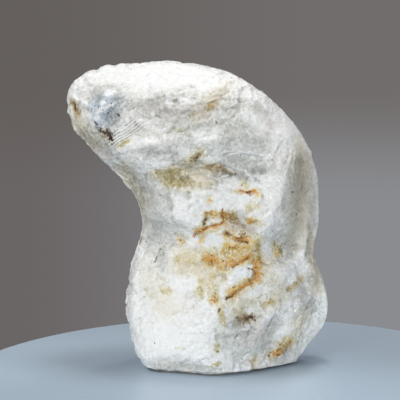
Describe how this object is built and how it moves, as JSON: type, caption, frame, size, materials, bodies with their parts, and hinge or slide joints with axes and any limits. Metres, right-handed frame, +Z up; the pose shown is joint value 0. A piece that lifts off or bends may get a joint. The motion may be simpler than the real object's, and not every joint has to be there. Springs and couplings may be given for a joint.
{
  "type": "marble specimen stone",
  "caption": "Rough white marble specimen bent like a thumb, with rusty and ochre iron stains in its cracks, standing upright on its flat foot.",
  "frame": {"origin": "on the ground, under the middle of the stone's box", "axes": "+Z up, +X to the right of the stained front face, +Y to the back; the blunt nose leans over to -X"},
  "size_m": [0.1208, 0.062, 0.14],
  "materials": {
    "marble": "rough broken white marble with rust, ochre and grey stains"
  },
  "bodies": {
    "root": {"marble_stone": "marble"}
  },
  "joints": []
}
